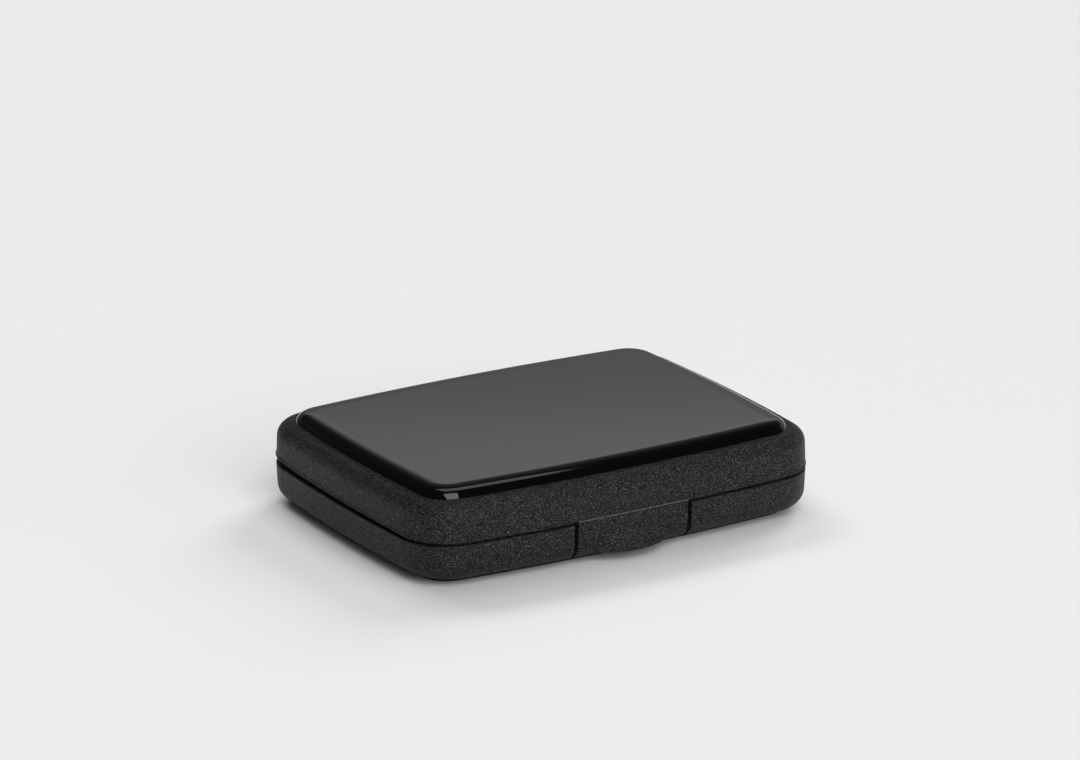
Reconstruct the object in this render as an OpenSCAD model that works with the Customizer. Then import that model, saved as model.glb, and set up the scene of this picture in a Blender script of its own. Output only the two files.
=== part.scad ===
/* [Outline] */
// Length of the box over its two ends, at the base's rim
box_length = 90; // [84:1:110]
// Depth of the box from front to back, at the base's rim
box_depth = 68.3; // [62:0.5:84]
// Radius of the outward bow of the front and the back
long_bow_radius = 440; // [300:10:900]
// Radius of the outward bow of the two ends
end_bow_radius = 390; // [300:10:900]
// Corner radius seen from above
corner_radius = 9.9; // [9.4:0.1:12]
// Wall thickness of both shells
wall = 1.6; // [1.4:0.1:1.8]
// How far each wall leans in between its rim and its fillet
wall_lean = 0.18; // [0.05:0.01:0.3]

/* [Base] */
// Height of the base from the plinth to its rim
base_height = 7.4; // [7:0.1:11]
// Outer fillet between the base's wall and its underside
base_fillet = 3.4; // [2.8:0.1:3.6]
// Height of the plinth that the box stands on
plinth_height = 1.05; // [0.6:0.05:1.6]
// Distance from the outline in to the plinth
plinth_inset = 4.6; // [4.4:0.1:5]

/* [Lid] */
// Height from the base's rim to the ledge round the top plate
lid_height = 8; // [7.4:0.1:12]
// Outer radius of the lid's shoulder
shoulder_radius = 2.8; // [2:0.1:3]
// Thickness of the lid under the top plate
lid_skin = 1.4; // [1:0.1:1.8]

/* [Rim] */
// Shadow gap between the base's rim and the lid's edge, at the front
rim_gap = 0.6; // [0.3:0.05:0.8]
// How much wider that gap is at the back, where the lid lifts off its hinges
rim_relief = 0.95; // [0.1:0.05:1.1]
// Height of the lip that stands up from the base's rim into the lid
rim_lip_height = 1.9; // [1.6:0.1:2.2]
// Thickness of the lid's edge outside that lip
rim_skin = 0.75; // [0.6:0.05:0.85]
// Clearance between the lip and the lid's edge
rim_clearance = 0.2; // [0.15:0.05:0.3]

/* [Top plate] */
// Distance from the outline in to the plate
plate_inset = 3.8; // [3.5:0.1:5]
// How far the plate stands above the ledge
plate_rise = 1.85; // [1.2:0.05:2.5]
// Depth of the recess that the plate sits in
plate_seat = 0.6; // [0.4:0.1:1]
// Radius of the plate's upper edge
plate_edge_radius = 1.5; // [0.8:0.1:1.8]
// Clearance between the plate and its recess
plate_clearance = 0.05; // [0.02:0.01:0.2]

/* [Latch] */
// Width of the latch tongue
tongue_width = 24.4; // [20:0.1:30]
// Width of the slit on each side of the tongue
slit_width = 0.8; // [0.4:0.05:1]
// How far the thumb lip stands out at its foot
lip_reach = 1.9; // [1.3:0.1:2.6]
// Width of the thumb lip at its foot
lip_width = 13.8; // [11:0.1:17]
// Height of the thumb lip's lower edge above the plinth
lip_rise = 0.8; // [0.4:0.05:1.5]
// Radius along the thumb lip's lower edge
lip_edge_radius = 0.6; // [0.3:0.1:0.8]
// How far the tongue's hook reaches in behind its face
hook_reach = 0.8; // [0.5:0.05:1]
// Distance from the base's rim down to the hook
hook_drop = 3.7; // [3:0.1:4.2]
// Depth of the tongue's foot, in from the outline
foot_depth = 3.2; // [3:0.1:3.4]
// Clearance between the tongue and the pocket behind it
latch_clearance = 0.3; // [0.2:0.05:0.5]
// Gap at the bending line between the lid's edge and the tongue
bend_gap = 0.1; // [0.05:0.01:0.2]
// Thickness of the pocket's wall behind the tongue
pocket_wall = 1.4; // [1:0.1:1.8]

/* [Hinge] */
// Distance between the middles of the two hinges
hinge_spacing = 44; // [30:1:50]
// Outer radius of the hinge knuckles
knuckle_radius = 1.5; // [1.3:0.05:1.7]
// Length of each knuckle
knuckle_length = 3; // [2.5:0.1:4]
// Side gap between neighbouring knuckles
knuckle_gap = 0.2; // [0.1:0.05:0.4]
// Radius of the steel hinge pins
pin_radius = 0.6; // [0.5:0.05:0.7]
// Clearance of a pin in the base's knuckles
pin_hold_clearance = 0.02; // [0.01:0.01:0.04]
// Clearance of a pin in the lid's knuckles
pin_run_clearance = 0.06; // [0.03:0.01:0.1]
// Wall that closes the inner end of each pin's bore
pin_end_wall = 0.8; // [0.5:0.1:1.2]
// Angle at which the lid's heels meet the base's back wall
lid_opening = 110; // [95:1:120]

/* [Hidden] */

matte_black = [0.13, 0.13, 0.14];
gloss_black = [0.03, 0.03, 0.03];
steel = [0.62, 0.63, 0.65];

// Facets of a full turn: small fillets, corners, and the long shallow bows
fillet_fn = 48;
corner_fn = 96;
bow_fn = 720;

// Levels, from the surface that the box stands on
z_foot = plinth_height;
z_rim = z_foot + base_height;
z_lip = z_rim + rim_lip_height;
z_edge = z_rim + rim_gap;
z_ledge = z_rim + lid_height;
z_seat = z_ledge - plate_seat;
z_ceiling = z_seat - lid_skin;
z_top = z_ledge + plate_rise;

// The outline: each side is a shallow arc, and each corner arc meets its two neighbours tangentially
half_l = box_length / 2;
half_d = box_depth / 2;
end_centre = [half_l - end_bow_radius, 0];
long_centre = [0, half_d - long_bow_radius];
between = long_centre - end_centre;
along = ((end_bow_radius - corner_radius) ^ 2 - (long_bow_radius - corner_radius) ^ 2
         + between * between) / (2 * norm(between));
across = sqrt((end_bow_radius - corner_radius) ^ 2 - along ^ 2);
unit = between / norm(between);
corner_centre = end_centre + along * unit + across * [-unit.y, unit.x];
end_half_angle = atan2(corner_centre.y, corner_centre.x - end_centre.x);
long_half_angle = atan2(corner_centre.x, corner_centre.y - long_centre.y);

bows = [[long_centre, long_bow_radius], [-long_centre, long_bow_radius],
        [end_centre, end_bow_radius], [-end_centre, end_bow_radius]];

// The corners are set in by a hair, so that they meet the sides in a clean step and not a tangent
corner_set_in = 0.035;
// Overlap that lets joined solids share volume, and cutters pass right through
lap = 0.5;
past = 1;
// Reach of a section inwards, beyond any axis it is turned about
deep = 2000;

// Slope of the lid's edge, from the front to the back
relief_angle = atan(rim_relief / box_depth);
// Chamfer that breaks the base's edge at the parting line
base_chamfer = 0.15;

// The latch, as insets from the outline and as levels
z_bend = z_edge - bend_gap;
tongue_foot_rise = 0.25;
z_tongue_foot = z_foot + tongue_foot_rise;
z_hook = z_rim - hook_drop;
hook_slope = 0.2;
hook_clearance = 0.15;
hook_depth = wall + hook_reach;
lip_rear = (lip_width ^ 2 / 4 - lip_reach ^ 2) / (2 * lip_reach);
lip_sink = 0.15;
lip_foot_overlap = 2.9;
z_lip_foot = z_foot + lip_rise;
pocket_width = tongue_width + 2 * slit_width;

// The hinge axis lies level with the middle of the rim gap, just clear of the back
hinge_set_off = 0.05;
hinge_y = half_d + knuckle_radius + hinge_set_off;
hinge_z = z_rim + rim_gap / 2;
knuckle_pitch = knuckle_length + knuckle_gap;
group_length = 3 * knuckle_length + 2 * knuckle_gap;
gusset = 2.4;
rim_seat = 0.1;
heel_height = 1.2;
heel_drop = 0.8;
heel_clearance = 0.05;
// Gap at a pin's inner end, and how far its outer end lies in its bore
pin_end_gap = 0.05;
pin_recess = 0.1;

// Where the back wall's face lies at a distance x from the middle
function back_y(x) = long_centre.y + sqrt(long_bow_radius ^ 2 - x ^ 2);

// Puts its children at all four corner centres, mirrored to face outwards
module at_corners()
    for (side = [0, 1], end = [0, 1])
        mirror([0, side, 0]) mirror([end, 0, 0])
            translate([corner_centre.x, corner_centre.y, 0]) children();

// The piece of plan outside a corner centre, between the two radii to the ends of its arc
module corner_wedge() {
    reach = 3 * corner_radius;
    polygon([[0, 0], reach * [cos(end_half_angle), sin(end_half_angle)], [reach, reach],
             reach * [sin(long_half_angle), cos(long_half_angle)]]);
}

// The outline of the box in plan, drawn in by an inset
module outline(inset) {
    difference() {
        intersection_for(bow = bows)
            translate(bow[0]) circle(bow[1] - inset, $fn = bow_fn);
        at_corners() corner_wedge();
    }
    at_corners() circle(corner_radius - corner_set_in - inset, $fn = corner_fn);
}

module prism(inset, z0, z1)
    translate([0, 0, z0]) linear_extrude(z1 - z0) outline(inset);

// A section turned about an axis. Its x is minus the inset from the outline, its y the level
module turned(radius, facets)
    rotate_extrude($fn = facets) intersection() {
        translate([radius, 0]) children();
        translate([0, -deep]) square([radius + 5, 2 * deep]);
    }

// A solid with the box's outline and the given section on all its sides
module bowed() {
    difference() {
        intersection_for(bow = bows)
            translate([bow[0].x, bow[0].y, 0]) turned(bow[1], bow_fn) children();
        at_corners() translate([0, 0, -past]) linear_extrude(z_top + 2 * past) corner_wedge();
    }
    at_corners() turned(corner_radius - corner_set_in, corner_fn) children();
}

// A section carried along the middle of the front only
module front_band(width)
    intersection() {
        translate([0, -long_centre.y, 0]) turned(long_bow_radius, bow_fn) children();
        translate([-width / 2, -half_d - 2 * past, -past])
            cube([width, half_d, z_top + 2 * past]);
    }

// A solid section from a rim to a flat, with a fillet between them and a chamfer at the rim
module filleted_section(inset, z_start, z_flat, radius, chamfer = 0, lean = wall_lean) {
    up = sign(z_start - z_flat);
    x = -inset - lean - radius;
    z = z_flat + up * radius;
    polygon([
        [-deep, z_flat], [x, z_flat], [x, z], [-inset - lean, z],
        [-inset, z_start - up * chamfer], [-inset - chamfer, z_start], [-deep, z_start]
    ]);
    translate([x, z]) intersection() {
        circle(radius, $fn = fillet_fn);
        translate([0, up > 0 ? -2 * radius : 0]) square(2 * radius);
    }
}

// Section of the wall behind the tongue, out to the base's own face
module pocket_wall_section() {
    back = hook_depth + latch_clearance + pocket_wall;
    foot_back = foot_depth + latch_clearance + pocket_wall;
    intersection() {
        filleted_section(0, z_rim, z_foot, base_fillet);
        polygon([[past, z_foot - past], [-foot_back, z_foot - past], [-foot_back, z_foot + wall],
                 [-back, z_hook], [-back, z_rim + past], [past, z_rim + past]]);
    }
    translate([-back, z_rim - lap])
        square([back - rim_skin - rim_clearance, rim_lip_height + lap]);
}

// Section of the space that the tongue fills and moves in, open at the front, top and bottom
module pocket_section() {
    edge = -wall - latch_clearance;
    ledge = z_hook + hook_clearance;
    hook = -hook_depth - latch_clearance;
    foot = -foot_depth - latch_clearance;
    polygon([[past, -past], [foot, -past], [foot, z_tongue_foot], [hook, ledge - hook_slope],
             [edge, ledge], [edge, z_lip + past], [past, z_lip + past]]);
}

// Section of the latch tongue: the base's outer face carried up to the lid, with a hook behind
module tongue_section()
    intersection() {
        filleted_section(0, z_bend, z_foot, base_fillet);
        polygon([[past, z_tongue_foot], [-foot_depth, z_tongue_foot],
                 [-hook_depth, z_hook - hook_slope], [-wall, z_hook],
                 [-wall, z_bend + past], [past, z_bend + past]]);
    }

// All that lies below the lid's edge, which rises from the front to the back
module below_edge()
    translate([0, -half_d, z_edge]) rotate([relief_angle, 0, 0])
        translate([-box_length, -half_d, -2 * past]) cube([2 * box_length, 2 * box_depth, 2 * past]);

// One hinge knuckle: a barrel on a web that a gusset carries, above or below the axis
module knuckle(x, length, up, root_y) {
    direction = up ? 1 : -1;
    translate([x - length / 2, hinge_y, hinge_z]) rotate([90, 0, 90]) {
        cylinder(r = knuckle_radius, h = length, $fn = corner_fn);
        linear_extrude(length)
            polygon([[0, 0], [0, direction * knuckle_radius],
                     [root_y - hinge_y, direction * (knuckle_radius + gusset)],
                     [root_y - hinge_y, 0]]);
    }
}

// A bore or a pin along a hinge's axis
module hinge_rod(x0, x1, radius)
    translate([x0, hinge_y, hinge_z]) rotate([0, 90, 0])
        cylinder(r = radius, h = x1 - x0, $fn = corner_fn);

// Places its children at the left hinge, side -1, or mirrored at the right one, side 1
module at_hinge(side)
    mirror([side > 0 ? 0 : 1, 0, 0]) translate([hinge_spacing / 2, 0, 0]) children();

module base_knuckles() {
    root_y = back_y(hinge_spacing / 2 + group_length / 2) - lap;
    for (side = [-1, 1]) at_hinge(side)
        for (step = [-1, 1])
            knuckle(step * knuckle_pitch, knuckle_length, false, root_y);
}

// The lid's knuckles, each with a heel that meets the base's back wall when the lid is fully open
module lid_knuckles() {
    root_y = back_y(hinge_spacing / 2 + knuckle_length / 2) - rim_skin / 2;
    wall_y = back_y(hinge_spacing / 2 - knuckle_length / 2) + heel_clearance - hinge_y;
    for (side = [-1, 1]) at_hinge(side) {
        knuckle(0, knuckle_length, true, root_y);
        translate([-knuckle_length / 2, hinge_y, hinge_z]) rotate([lid_opening, 0, 0])
            translate([0, wall_y, -heel_drop - heel_height])
                cube([knuckle_length, -wall_y, heel_height]);
    }
}

module base_shell()
    color(matte_black) difference() {
        union() {
            bowed() filleted_section(0, z_rim, z_foot, base_fillet, base_chamfer);
            prism(plinth_inset, 0, z_foot + lap);
            prism(rim_skin + rim_clearance, z_rim - lap, z_lip);
            base_knuckles();
        }
        difference() {
            union() {
                bowed() filleted_section(wall, z_lip + past, z_foot + wall, base_fillet - wall, 0, 0);
                prism(plinth_inset + wall, wall, z_rim);
            }
            front_band(pocket_width + 2 * pocket_wall) pocket_wall_section();
        }
        front_band(pocket_width) pocket_section();
        for (side = [-1, 1]) at_hinge(side)
            hinge_rod(-group_length / 2 + pin_end_wall, group_length / 2 + past,
                      pin_radius + pin_hold_clearance);
    }

module lid_shell() {
    cavity_radius = max(z_ceiling - z_ledge + shoulder_radius, 0.4);
    color(matte_black) difference() {
        union() {
            difference() {
                bowed() filleted_section(0, z_edge - lap, z_ledge, shoulder_radius);
                below_edge();
            }
            lid_knuckles();
        }
        difference() {
            union() {
                bowed() filleted_section(wall, z_edge - past, z_ceiling, cavity_radius, 0, 0);
                prism(rim_skin, z_edge - past, z_lip + rim_seat);
            }
            front_band(tongue_width)
                translate([-wall, z_edge]) square([wall, z_lip - z_edge + lap]);
        }
        prism(plate_inset - plate_clearance, z_seat, z_ledge + past);
        for (side = [-1, 1]) at_hinge(side)
            hinge_rod(-group_length / 2, group_length / 2, pin_radius + pin_run_clearance);
    }
}

module top_plate()
    color(gloss_black)
        bowed() filleted_section(plate_inset, z_seat, z_top, plate_edge_radius, 0, 0);

// The flared thumb lip: part of a cone whose foot is rounded
module thumb_lip() {
    foot_radius = lip_rear + lip_reach;
    top_radius = lip_rear - lip_sink;
    intersection() {
        translate([0, lip_rear - half_d, 0]) rotate_extrude($fn = bow_fn / 2) {
            polygon([[0, z_lip_foot], [foot_radius - lip_edge_radius, z_lip_foot],
                     [foot_radius - lip_edge_radius, z_lip_foot + lip_edge_radius],
                     [foot_radius, z_lip_foot + lip_edge_radius], [top_radius, z_bend],
                     [0, z_bend]]);
            translate([foot_radius - lip_edge_radius, z_lip_foot + lip_edge_radius])
                intersection() {
                    circle(lip_edge_radius, $fn = fillet_fn);
                    translate([0, -2 * lip_edge_radius]) square(2 * lip_edge_radius);
                }
        }
        translate([-lip_width, -half_d, 0]) rotate([90, 0, 90]) linear_extrude(2 * lip_width)
            polygon([[-lip_reach - past, z_lip_foot], [lip_foot_overlap, z_lip_foot],
                     [wall / 2, z_hook - hook_slope], [wall / 2, z_bend],
                     [-lip_reach - past, z_bend]]);
    }
}

module latch_tongue()
    color(matte_black) {
        front_band(tongue_width) tongue_section();
        thumb_lip();
    }

module hinge_pin(side)
    color(steel) at_hinge(side)
        hinge_rod(-group_length / 2 + pin_end_wall + pin_end_gap, group_length / 2 - pin_recess,
                  pin_radius);

base_shell();
lid_shell();
top_plate();
latch_tongue();
hinge_pin(-1);  // hinge_pin_left
hinge_pin(1);  // hinge_pin_right
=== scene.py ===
import math

import bpy
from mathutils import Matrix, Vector


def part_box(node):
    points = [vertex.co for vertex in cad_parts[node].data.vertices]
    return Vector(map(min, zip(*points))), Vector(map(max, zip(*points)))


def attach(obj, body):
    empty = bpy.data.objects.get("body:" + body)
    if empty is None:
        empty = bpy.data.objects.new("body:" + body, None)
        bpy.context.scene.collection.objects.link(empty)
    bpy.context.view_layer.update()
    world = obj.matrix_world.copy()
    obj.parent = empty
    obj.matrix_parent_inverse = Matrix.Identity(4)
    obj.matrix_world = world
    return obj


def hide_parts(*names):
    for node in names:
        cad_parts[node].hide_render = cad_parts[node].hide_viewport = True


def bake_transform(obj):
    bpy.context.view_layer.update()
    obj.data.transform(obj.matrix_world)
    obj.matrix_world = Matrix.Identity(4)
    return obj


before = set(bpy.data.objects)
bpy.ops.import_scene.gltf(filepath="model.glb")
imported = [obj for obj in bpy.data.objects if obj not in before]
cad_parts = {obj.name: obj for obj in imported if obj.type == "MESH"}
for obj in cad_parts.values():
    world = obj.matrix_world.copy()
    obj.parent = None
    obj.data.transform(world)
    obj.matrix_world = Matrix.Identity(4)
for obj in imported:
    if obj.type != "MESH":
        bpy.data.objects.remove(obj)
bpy.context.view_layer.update()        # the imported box: base, lid and latch
MM = 0.001

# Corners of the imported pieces, in millimetres
BASE_HIGH = Vector(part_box("base_shell")[1]) / MM
LID_HIGH = Vector(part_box("lid_shell")[1]) / MM
PLATE_LOW, PLATE_HIGH = (Vector(corner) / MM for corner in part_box("top_plate"))
TONGUE_LOW, TONGUE_HIGH = (Vector(corner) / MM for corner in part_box("latch_tongue"))

# The outline in plan: half sizes, radii of the bowed sides and of the corners
PLATE_INSET = BASE_HIGH.x - PLATE_HIGH.x
HALF_LENGTH = BASE_HIGH.x
HALF_DEPTH = PLATE_HIGH.y + PLATE_INSET
LONG_BOW = 440.0
END_BOW = 390.0
CORNER = 9.9

# The lid's ledge, the plate's rounded edge above it, and the softly crowned border inside that
LEDGE = LID_HIGH.z
PLATE_EDGE_STEEPEST = math.radians(73)
PLATE_EDGE_STEPS = 32
CROWN_WIDTH = 1.8
CROWN_TILT = math.radians(4.7)
CROWN_STEPS = 14
FLAT_START = 0.3         # a ring this far inside the crown keeps the flat top's normals true

# The lid's lower edge: its level at the front, how far it rises to the back, and its bead
LID_EDGE = TONGUE_HIGH.z + 0.1
LID_EDGE_RISE = 0.95
BEAD_PROUD = 0.06
BEAD_HEIGHT = 0.36

# The line along which the tongue bends
BEND_PROUD = 0.06
BEND_HEIGHT = 0.18
BEND_STEPS = 60

# The tongue: its outer face, its broken edges, its hook and its foot
WALL = 1.6
WALL_LEAN = 0.18
BASE_FILLET = 3.4
PLINTH = 1.05
TONGUE_COLUMNS = 122
BROKEN_EDGE = 0.08
FOOT_DEPTH = 3.2
HOOK_DEPTH = 2.4
HOOK_LEVEL = 4.75
HOOK_SLOPE = 0.2

# The thumb lip: part of a cone, rounded along its lower edge and blended into the tongue
LIP_REACH = 1.9
LIP_WIDTH = 13.8
LIP_FOOT = 1.85
LIP_EDGE_RADIUS = 0.6
LIP_SINK = 0.15
LIP_BLEND = 0.5

# The photograph's view, as an aim point, angles, a distance and a lens
AIM = Vector((3.39, 5.76, 23.14)) * MM
VIEW_AZIMUTH = math.radians(31.25)
VIEW_ELEVATION = math.radians(18.475)
VIEW_DISTANCE = 1.0983
LENS_MM = 189.1
SENSOR_MM = 36.0

# Grain of the spark-eroded mould, how deep it is, and the unevenness of the plate's polish
GRAIN_SIZE = 0.23 * MM
GRAIN_DEPTH = 0.08 * MM
PIT_SIZE = GRAIN_SIZE * 1.2
PIT_SHARE = 0.7
# size of the bright specks painted into the colour as glints
GLINT_SPECK_SIZE = GRAIN_SIZE * 1.9
SHINE_SIZE = GRAIN_SIZE * 3
POLISH_TINT_SIZE = 6 * MM
POLISH_SHINE_SIZE = 2 * MM
POLISH_RIPPLE = 0.0012 * MM
GRINDING_MARK = 0.08 * MM

# The studio: how far off the lamps are, the room's dim light, the strip of light and the floor
STUDIO = 3.0
ROOM_LIGHT = 0.035
STRIP_MIDDLE = (math.sin(math.radians(35)), math.cos(math.radians(35)), 0)
STRIP_RIGHT = (math.sin(math.radians(125)), math.cos(math.radians(125)), 0)
STRIP_LEVELS = [         # degrees above the floor, and brightness
    (0, 0.25), (14, 0.32), (17.8, 0.36), (18.4, 0.38), (18.66, 0.425), (18.8, 0.49), (18.95, 0.58),
    (19.1, 0.69), (20.5, 0.65), (21.4, 0.48), (22.2, 0.27), (23, 0.14), (24.5, 0.07), (36, 0.02),
    (90, 0.0),
]
FLOOR_SIZE = 8.0
FLOOR_WHITE = 0.816
FLOOR_FADE = (0.20, 0.054, 0)   # share of its white that it loses with each metre to the right and back
FLOOR_SPAN = 0.2                # the most that it gains or loses


def node_material(name):
    """A material with nodes, with its tree and its principled shader"""
    material = bpy.data.materials.new(name)
    material.use_nodes = True
    tree = material.node_tree
    shader = tree.nodes["Principled BSDF"]
    return material, tree, shader


def add_node(tree, kind, **settings):
    """A node with its settings; keys that name an input set that input's value"""
    node = tree.nodes.new(kind)
    for key, value in settings.items():
        if key in node.inputs:
            node.inputs[key].default_value = value
        else:
            setattr(node, key, value)
    return node


def object_coordinates(tree):
    return add_node(tree, "ShaderNodeTexCoord").outputs["Object"]


def noise(tree, size, detail=2.0, roughness=0.5):
    """Noise whose features are about the given size in metres"""
    node = add_node(tree, "ShaderNodeTexNoise", Scale=1 / size, Detail=detail, Roughness=roughness)
    tree.links.new(object_coordinates(tree), node.inputs["Vector"])
    return node.outputs["Fac"]


def cells(tree, size):
    """Distance from the middles of random cells of about the given size in metres"""
    node = add_node(tree, "ShaderNodeTexVoronoi", Scale=1 / size)
    tree.links.new(object_coordinates(tree), node.inputs["Vector"])
    return node.outputs["Distance"]


def ramp(tree, value, stops):
    """A ramp of greys over a value, from (position, brightness) stops"""
    node = add_node(tree, "ShaderNodeValToRGB")
    elements = node.color_ramp.elements
    while len(elements) < len(stops):
        elements.new(1.0)
    for element, (position, level) in zip(elements, stops):
        element.position = position
        element.color = (level, level, level, 1)
    tree.links.new(value, node.inputs["Fac"])
    return node.outputs["Color"]


def maths(tree, operation, a, b):
    """One operation on two values, each a socket or a number"""
    node = add_node(tree, "ShaderNodeMath", operation=operation)
    for socket, value in zip(node.inputs, (a, b)):
        if isinstance(value, (int, float)):
            socket.default_value = value
        else:
            tree.links.new(value, socket)
    return node.outputs["Value"]


def along(tree, direction, axis):
    """How far a direction or a place lies along an axis"""
    node = add_node(tree, "ShaderNodeVectorMath", operation="DOT_PRODUCT")
    tree.links.new(direction, node.inputs[0])
    node.inputs[1].default_value = axis
    return node.outputs["Value"]


def bump(tree, shader, height, distance):
    node = add_node(tree, "ShaderNodeBump", Strength=1.0, Distance=distance)
    tree.links.new(height, node.inputs["Height"])
    tree.links.new(node.outputs["Normal"], shader.inputs["Normal"])


def matte_plastic():
    """Black plastic from a spark-eroded mould: coarse pits and paler grain, with bright specks painted in as
    glints
    """
    material, tree, shader = node_material("matte_black_plastic")
    grain = noise(tree, GRAIN_SIZE, detail=3, roughness=0.7)
    pits = cells(tree, PIT_SIZE)
    height = maths(tree, "ADD", grain, maths(tree, "MULTIPLY", pits, PIT_SHARE))
    body = ramp(tree, grain, [(0.49, 0.0003), (0.59, 0.052)])
    # painted glints: bright specks painted into the colour at the middles of small cells
    painted_glint_specks = ramp(tree, cells(tree, GLINT_SPECK_SIZE), [(0.0, 0.34), (0.20, 0.0)])
    colour = add_node(tree, "ShaderNodeVectorMath", operation="ADD")
    tree.links.new(body, colour.inputs[0])
    tree.links.new(painted_glint_specks, colour.inputs[1])
    tree.links.new(colour.outputs["Vector"], shader.inputs["Base Color"])
    rough = ramp(tree, noise(tree, SHINE_SIZE), [(0.3, 0.42), (0.7, 0.56)])
    tree.links.new(rough, shader.inputs["Roughness"])
    shader.inputs["Specular IOR Level"].default_value = 0.18
    bump(tree, shader, height, GRAIN_DEPTH)
    return material


def highlight_painted_plastic():
    """The same plastic painted paler: a painted highlight for the raised bend line"""
    material, tree, shader = node_material("black_plastic_painted_highlight")
    # painted highlight: a paler colour stands for the light that the raised line catches
    tint = ramp(tree, noise(tree, GRAIN_SIZE), [(0.35, 0.03), (0.65, 0.13)])
    tree.links.new(tint, shader.inputs["Base Color"])
    rough = ramp(tree, noise(tree, SHINE_SIZE), [(0.3, 0.5), (0.7, 0.6)])
    tree.links.new(rough, shader.inputs["Roughness"])
    return material


def gloss_plastic():
    """Deep black high-gloss plastic, with a faint unevenness in its polish"""
    material, tree, shader = node_material("gloss_black_plastic")
    tint = ramp(tree, noise(tree, POLISH_TINT_SIZE), [(0.3, 0.0010), (0.7, 0.0016)])
    tree.links.new(tint, shader.inputs["Base Color"])
    rough = ramp(tree, noise(tree, POLISH_SHINE_SIZE), [(0.3, 0.045), (0.7, 0.06)])
    tree.links.new(rough, shader.inputs["Roughness"])
    bump(tree, shader, noise(tree, GRAIN_SIZE, detail=1), POLISH_RIPPLE)
    return material


def ground_steel():
    """Bright steel with fine marks from grinding"""
    material, tree, shader = node_material("ground_steel")
    shader.inputs["Metallic"].default_value = 1.0
    marks = noise(tree, GRINDING_MARK, detail=4)
    tint = ramp(tree, marks, [(0.3, 0.50), (0.7, 0.64)])
    tree.links.new(tint, shader.inputs["Base Color"])
    rough = ramp(tree, marks, [(0.3, 0.25), (0.7, 0.38)])
    tree.links.new(rough, shader.inputs["Roughness"])
    return material


def arc(centre, radius, start, end, count):
    """Points along an arc in plan, by angles in radians, without its last point"""
    steps = [start + (end - start) * step / count for step in range(count)]
    return [(centre[0] + radius * math.cos(angle), centre[1] + radius * math.sin(angle)) for angle in steps]


def outline(inset, side_steps=30, corner_steps=32):
    """Points round the box's outline in plan, drawn in by an inset: shallow arcs joined by corner arcs"""
    end_centre = Vector((HALF_LENGTH - END_BOW, 0))
    long_centre = Vector((0, HALF_DEPTH - LONG_BOW))
    between = long_centre - end_centre
    end_reach, long_reach = END_BOW - CORNER, LONG_BOW - CORNER
    lengthwise = (end_reach ** 2 - long_reach ** 2 + between.length_squared) / (2 * between.length)
    sideways = math.sqrt(end_reach ** 2 - lengthwise ** 2)
    unit = between.normalized()
    corner_centre = end_centre + lengthwise * unit + sideways * Vector((-unit.y, unit.x))
    end_angle = math.atan2(corner_centre.y, corner_centre.x - end_centre.x)
    long_angle = math.atan2(corner_centre.y - long_centre.y, corner_centre.x)
    quarter = arc(end_centre, END_BOW - inset, 0, end_angle, side_steps)
    quarter += arc(corner_centre, CORNER - inset, end_angle, long_angle, corner_steps)
    quarter += arc(long_centre, LONG_BOW - inset, long_angle, math.pi / 2, side_steps)
    left = [(-x, y) for x, y in reversed(quarter)]
    half = quarter + [(0, HALF_DEPTH - inset)] + left[:-1]
    return half + [(-x, -y) for x, y in half]


def new_piece(name, points, faces, material, sharp=35):
    """A smooth-shaded mesh from points in millimetres, sharp where its faces meet at a steep angle"""
    mesh = bpy.data.meshes.new(name)
    mesh.from_pydata([Vector(point) * MM for point in points], [], faces)
    mesh.polygons.foreach_set("use_smooth", [True] * len(mesh.polygons))
    mesh.set_sharp_from_angle(angle=math.radians(sharp))
    mesh.materials.append(material)
    piece = bpy.data.objects.new(name, mesh)
    bpy.context.scene.collection.objects.link(piece)
    return piece


def strip(first, second):
    """Quads between two rings of vertex numbers, closed round"""
    following = list(range(1, len(first))) + [0]
    return [(first[i], first[j], second[j], second[i]) for i, j in enumerate(following)]


def stacked(sections):
    """All the sections' points, each section's ring of vertex numbers, and the quads between the rings"""
    points, rings, faces = [], [], []
    for section in sections:
        rings.append(range(len(points), len(points) + len(section)))
        points += section
    for first, second in zip(rings, rings[1:]):
        faces += strip(first, second)
    return points, rings, faces


def plate_profile():
    """The plate's edge from its foot to its flat top, as insets from the outline and levels"""
    crown_radius = CROWN_WIDTH / math.sin(CROWN_TILT)
    crown_drop = crown_radius * (1 - math.cos(CROWN_TILT))
    edge_height = PLATE_HIGH.z - crown_drop - LEDGE
    edge_radius = edge_height / (math.cos(CROWN_TILT) - math.cos(PLATE_EDGE_STEEPEST))
    points = [(PLATE_INSET, PLATE_LOW.z)]
    for step in range(PLATE_EDGE_STEPS + 1):
        tilt = PLATE_EDGE_STEEPEST + (CROWN_TILT - PLATE_EDGE_STEEPEST) * step / PLATE_EDGE_STEPS
        points.append((PLATE_INSET + edge_radius * (math.sin(PLATE_EDGE_STEEPEST) - math.sin(tilt)),
                       LEDGE + edge_radius * (math.cos(tilt) - math.cos(PLATE_EDGE_STEEPEST))))
    crown_start = points[-1][0]
    for step in range(1, CROWN_STEPS + 1):
        tilt = CROWN_TILT * (1 - step / CROWN_STEPS)
        points.append((crown_start + crown_radius * (math.sin(CROWN_TILT) - math.sin(tilt)),
                       PLATE_HIGH.z - crown_radius * (1 - math.cos(tilt))))
    points.append((points[-1][0] + FLAT_START, PLATE_HIGH.z))
    return points


def gloss_plate(material):
    """The raised top plate, with its rounded edge and crowned border"""
    sections = [[(x, y, level) for x, y in outline(inset)] for inset, level in plate_profile()]
    points, rings, faces = stacked(sections)
    faces.append(tuple(rings[-1]))
    faces.append(tuple(reversed(rings[0])))
    plate = new_piece("gloss_plate", points, faces, material)
    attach(plate, "lid")
    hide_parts("top_plate")


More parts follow.
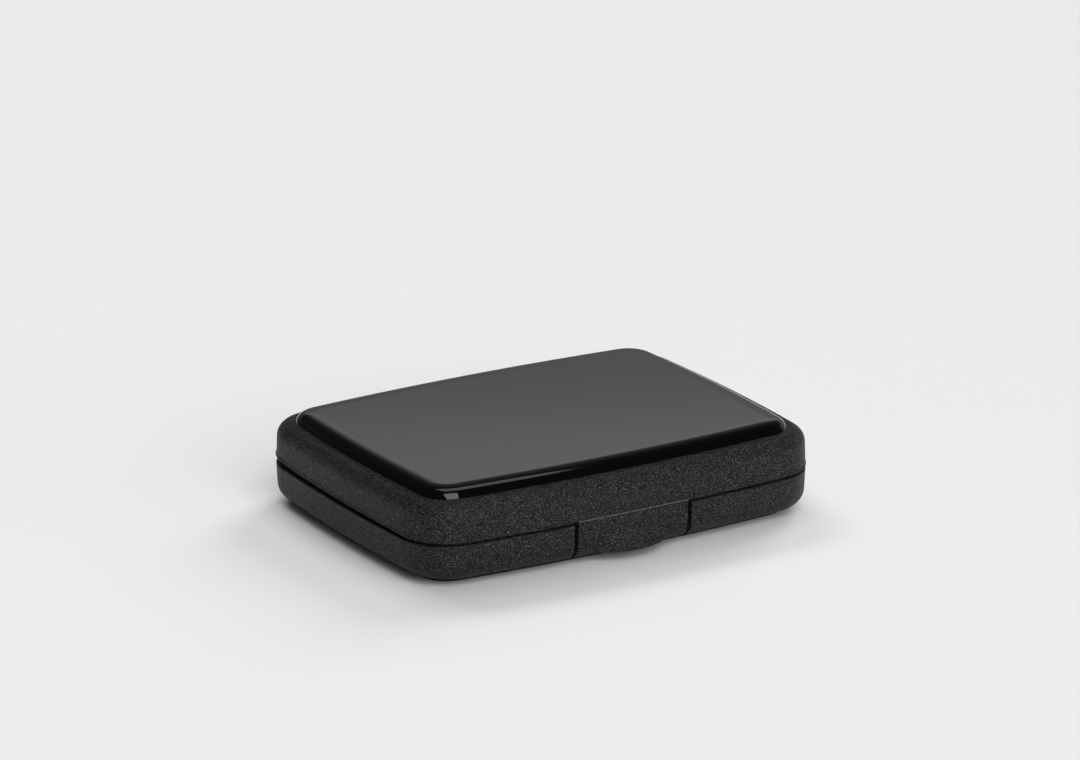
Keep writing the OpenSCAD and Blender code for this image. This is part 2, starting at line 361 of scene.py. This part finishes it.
def bead_ring(inset, share):
    """One ring of the bead, at an inset and a share of its height; it rises a little from front to back"""
    return [(x, y, LID_EDGE + LID_EDGE_RISE * (y + HALF_DEPTH) / (2 * HALF_DEPTH) + BEAD_HEIGHT * share)
            for x, y in outline(inset)]


def lid_edge_bead(material):
    """The fine bead along the lid's edge, from a section of insets and shares of its height"""
    section = [(0.15, 0.0), (-0.02, 0.0), (-BEAD_PROUD, 0.3), (-BEAD_PROUD, 0.7), (0.0, 1.0), (0.15, 1.0)]
    points, rings, faces = stacked([bead_ring(inset, share) for inset, share in section])
    faces += strip(rings[-1], rings[0])
    bead = new_piece("lid_edge_bead", points, faces, material, sharp=50)
    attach(bead, "lid")


def front_face(x, level):
    """Where the outer face of the base's front lies, carried up to the lid, at a place along it and a level"""
    fillet_level = PLINTH + BASE_FILLET
    if level >= fillet_level:
        inset = WALL_LEAN * (TONGUE_HIGH.z - level) / (TONGUE_HIGH.z - fillet_level)
    else:
        drop = min(fillet_level - level, BASE_FILLET)
        inset = WALL_LEAN + BASE_FILLET - math.sqrt(BASE_FILLET ** 2 - drop ** 2)
    return -(HALF_DEPTH - LONG_BOW + math.sqrt((LONG_BOW - inset) ** 2 - x ** 2))


def lip_face(x, level):
    """Where the thumb lip's cone lies, or a place far behind the tongue where it has ended"""
    rear = (LIP_WIDTH ** 2 / 4 - LIP_REACH ** 2) / (2 * LIP_REACH)
    foot_radius, top_radius = rear + LIP_REACH, rear - LIP_SINK
    edge_level = LIP_FOOT + LIP_EDGE_RADIUS
    if level < LIP_FOOT:
        return 0.0
    if level < edge_level:
        drop = min(edge_level - level, LIP_EDGE_RADIUS)
        radius = foot_radius - LIP_EDGE_RADIUS + math.sqrt(LIP_EDGE_RADIUS ** 2 - drop ** 2)
    else:
        share = (level - edge_level) / (TONGUE_HIGH.z - edge_level)
        radius = foot_radius + (top_radius - foot_radius) * share
    if abs(x) >= radius:
        return 0.0
    return rear - HALF_DEPTH - math.sqrt(radius ** 2 - x ** 2)


def smooth_least(a, b, reach):
    """The lesser of two values, rounded over where they are close to each other"""
    share = max(reach - abs(a - b), 0.0) / reach
    return min(a, b) - share * share * reach / 4


def tongue_levels():
    """Levels down the tongue's outer face, close together round the lip's lower edge"""
    upper_spacing, upper_steps, edge_steps, lower_steps = 0.2, 32, 8, 8
    upper = [TONGUE_HIGH.z - upper_spacing * step for step in range(upper_steps)]
    upper = [level for level in upper if level > LIP_FOOT + LIP_EDGE_RADIUS]
    edge = [LIP_FOOT + LIP_EDGE_RADIUS * (1 - math.sin(math.pi / 2 * step / edge_steps))
            for step in range(edge_steps + 1)]
    below = LIP_FOOT - 0.01
    lower = [below + (TONGUE_LOW.z - below) * step / lower_steps for step in range(lower_steps + 1)]
    return upper + edge + lower


def tongue_section(x, broken_edge):
    """The tongue's section at a place along it, from its root in the lid down to its foot and up behind"""
    root = [(0.5, 0.55), (0.22, 0.55), (0.22, 0.2), (0.03, 0.06)]
    face_top = front_face(x, TONGUE_HIGH.z)
    section = [(face_top + inset, TONGUE_HIGH.z + height) for inset, height in root]
    for level in tongue_levels():
        face = smooth_least(front_face(x, level), lip_face(x, level), LIP_BLEND)
        section.append((face + broken_edge, level))
    section += [(face_top + FOOT_DEPTH, TONGUE_LOW.z), (face_top + HOOK_DEPTH, HOOK_LEVEL - HOOK_SLOPE),
                (face_top + WALL, HOOK_LEVEL), (face_top + WALL, TONGUE_HIGH.z)]
    return [(x, y, level) for y, level in section]


def bending_tongue(material):
    """The latch tongue with its thumb lip, its root reaching up into the lid's edge along the line where it
    bends
    """
    half_width = TONGUE_HIGH.x
    places = [half_width * (2 * column / TONGUE_COLUMNS - 1) * (1 - BROKEN_EDGE / half_width)
              for column in range(TONGUE_COLUMNS + 1)]
    sections = [tongue_section(x, 0.0) for x in places]
    sections.insert(0, tongue_section(-half_width, BROKEN_EDGE))
    sections.append(tongue_section(half_width, BROKEN_EDGE))
    points, rings, faces = stacked(sections)
    faces.append(tuple(reversed(rings[0])))
    faces.append(tuple(rings[-1]))
    tongue = new_piece("bending_tongue", points, faces, material, sharp=40)
    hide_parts("latch_tongue")
    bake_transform(tongue)


def bend_line_section(x):
    """The bend line's section at a place along it"""
    section = [(0.1, 0.0), (-0.5 * BEND_PROUD, 0.0), (-BEND_PROUD, 0.35 * BEND_HEIGHT),
               (-BEND_PROUD, 0.65 * BEND_HEIGHT), (-0.5 * BEND_PROUD, BEND_HEIGHT), (0.1, BEND_HEIGHT)]
    face = front_face(x, TONGUE_HIGH.z) - BEAD_PROUD
    return [(x, face + inset, LID_EDGE + level) for inset, level in section]


def bend_line(material):
    """The fine raised line where the tongue leaves the lid, painted paler as a highlight"""
    places = [TONGUE_HIGH.x * (2 * step / BEND_STEPS - 1) for step in range(BEND_STEPS + 1)]
    points, rings, faces = stacked([bend_line_section(x) for x in places])
    faces.append(tuple(reversed(rings[0])))
    faces.append(tuple(rings[-1]))
    line = new_piece("bend_line", points, faces, material)
    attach(line, "lid")


def dress_nodes(shell, steel):
    """Gives the base, the lid and the hinge pins their materials"""
    looks = {"base_shell": shell, "lid_shell": shell, "hinge_pin_left": steel, "hinge_pin_right": steel}
    for name, material in looks.items():
        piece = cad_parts[name]
        piece.data.materials.clear()
        piece.data.materials.append(material)


def photo_camera():
    """The camera at the photograph's viewing angle"""
    camera = bpy.data.objects.new("camera", bpy.data.cameras.new("camera"))
    bpy.context.scene.collection.objects.link(camera)
    camera.data.lens = LENS_MM
    camera.data.sensor_width = SENSOR_MM
    camera.data.sensor_fit = "HORIZONTAL"
    camera.data.clip_start = 0.01
    looking = Vector((
        math.sin(VIEW_AZIMUTH) * math.cos(VIEW_ELEVATION),
        math.cos(VIEW_AZIMUTH) * math.cos(VIEW_ELEVATION),
        -math.sin(VIEW_ELEVATION),
    ))
    camera.location = AIM - VIEW_DISTANCE * looking
    camera.rotation_euler = looking.to_track_quat("-Z", "Y").to_euler()
    bpy.context.scene.camera = camera


def pale_floor():
    """The floor, a plain pale sheet that darkens a little to the right and the back"""
    half = FLOOR_SIZE / 2
    mesh = bpy.data.meshes.new("floor")
    mesh.from_pydata([(-half, -half, 0), (half, -half, 0), (half, half, 0), (-half, half, 0)],
                     [], [(0, 1, 2, 3)])
    floor = bpy.data.objects.new("floor", mesh)
    bpy.context.scene.collection.objects.link(floor)
    material, tree, shader = node_material("pale_floor")
    place = maths(tree, "ADD", along(tree, object_coordinates(tree), FLOOR_FADE), 0.5)
    colour = ramp(tree, place, [(0.5 - FLOOR_SPAN, FLOOR_WHITE * (1 + FLOOR_SPAN)),
                                (0.5 + FLOOR_SPAN, FLOOR_WHITE * (1 - FLOOR_SPAN))])
    tree.links.new(colour, shader.inputs["Base Color"])
    shader.inputs["Roughness"].default_value = 0.9
    shader.inputs["Specular IOR Level"].default_value = 0.0
    mesh.materials.append(material)


def softbox(name, centre, size, radiance, mirrored, turn=None):
    """A rectangular lamp of an even radiance that faces the object, or faces straight down with a turn"""
    light = bpy.data.lights.new(name, "AREA")
    light.shape = "RECTANGLE"
    light.size, light.size_y = size
    light.energy = radiance * math.pi * light.size * light.size_y
    lamp = bpy.data.objects.new(name, light)
    bpy.context.scene.collection.objects.link(lamp)
    lamp.location = Vector(centre)
    lamp.rotation_euler = (-Vector(centre)).to_track_quat("-Z", "Y").to_euler()
    if turn is not None:
        lamp.rotation_euler = (0, 0, math.radians(turn))
    lamp.visible_camera = False
    lamp.visible_glossy = mirrored


def overhead_softbox(name, across, back, radiance, mirrored, turn=0):
    """A level softbox overhead, by its edges across and to the back as shares of its height"""
    x0, x1 = (edge * STUDIO for edge in across)
    y0, y1 = (edge * STUDIO for edge in back)
    softbox(name, ((x0 + x1) / 2, (y0 + y1) / 2, STUDIO), (x1 - x0, y1 - y0), radiance, mirrored, turn)


def standing_softbox(name, azimuth, elevation, radiance, mirrored):
    """A softbox that faces the object, by its first and last azimuth and elevation in degrees"""
    turn, rise = (math.radians(sum(pair) / 2) for pair in (azimuth, elevation))
    half_turn, half_rise = (math.radians(pair[1] - pair[0]) / 2 for pair in (azimuth, elevation))
    centre = STUDIO * Vector((math.sin(turn) * math.cos(rise), math.cos(turn) * math.cos(rise), math.sin(rise)))
    size = (2 * STUDIO * math.tan(half_turn) * math.cos(rise), 2 * STUDIO * math.tan(half_rise))
    softbox(name, centre, size, radiance, mirrored)


def studio_world():
    """A dim room with a soft bright strip low behind the object, on the side that the plate's top mirrors"""
    world = bpy.data.worlds.new("studio")
    bpy.context.scene.world = world
    world.use_nodes = True
    tree = world.node_tree
    background = tree.nodes["Background"]
    direction = add_node(tree, "ShaderNodeTexCoord").outputs["Generated"]
    parts = add_node(tree, "ShaderNodeSeparateXYZ")
    tree.links.new(direction, parts.inputs["Vector"])
    stops = [(math.sin(math.radians(degrees)), level) for degrees, level in STRIP_LEVELS]
    strip_light = ramp(tree, parts.outputs["Z"], stops)
    # the strip ends softly at both sides, and falls off a little from right to left
    window = ramp(tree, along(tree, direction, STRIP_MIDDLE), [(0.40, 0), (0.72, 1)])
    rightward = maths(tree, "ADD", along(tree, direction, STRIP_RIGHT), 0.5)
    fall = ramp(tree, rightward, [(0.15, 0.4), (0.39, 0.83), (0.50, 1)])
    strip_side = maths(tree, "MULTIPLY", strip_light, maths(tree, "MULTIPLY", window, fall))
    tree.links.new(maths(tree, "ADD", strip_side, ROOM_LIGHT), background.inputs["Color"])


def studio_lamps():
    """Softboxes overhead, behind, on the right and in front; the polished plate mirrors two of them"""
    overhead_softbox("overhead_softbox_left", (-0.45, -0.10), (-0.20, 0.80), 0.95, mirrored=False)
    overhead_softbox("overhead_softbox_right", (-0.10, 0.546), (-0.04, 0.50), 1.20, mirrored=True, turn=-5)
    overhead_softbox("rear_softbox", (-0.30, 0.56), (0.80, 1.25), 6.3, mirrored=False)
    standing_softbox("right_softbox", (45, 72), (14, 44), 6.5, mirrored=False)
    standing_softbox("front_softbox", (163, 214), (10, 68), 2.9, mirrored=True)
    standing_softbox("low_front_softbox", (112, 184), (4, 26), 1.6, mirrored=False)


photo_camera()
matte = matte_plastic()
dress_nodes(matte, ground_steel())
gloss_plate(gloss_plastic())
bending_tongue(matte)
lid_edge_bead(matte)
# the bend line gets a painted highlight in its colour
bend_line(highlight_painted_plastic())
pale_floor()
studio_world()
studio_lamps()

bpy.context.scene.view_settings.view_transform = "Standard"
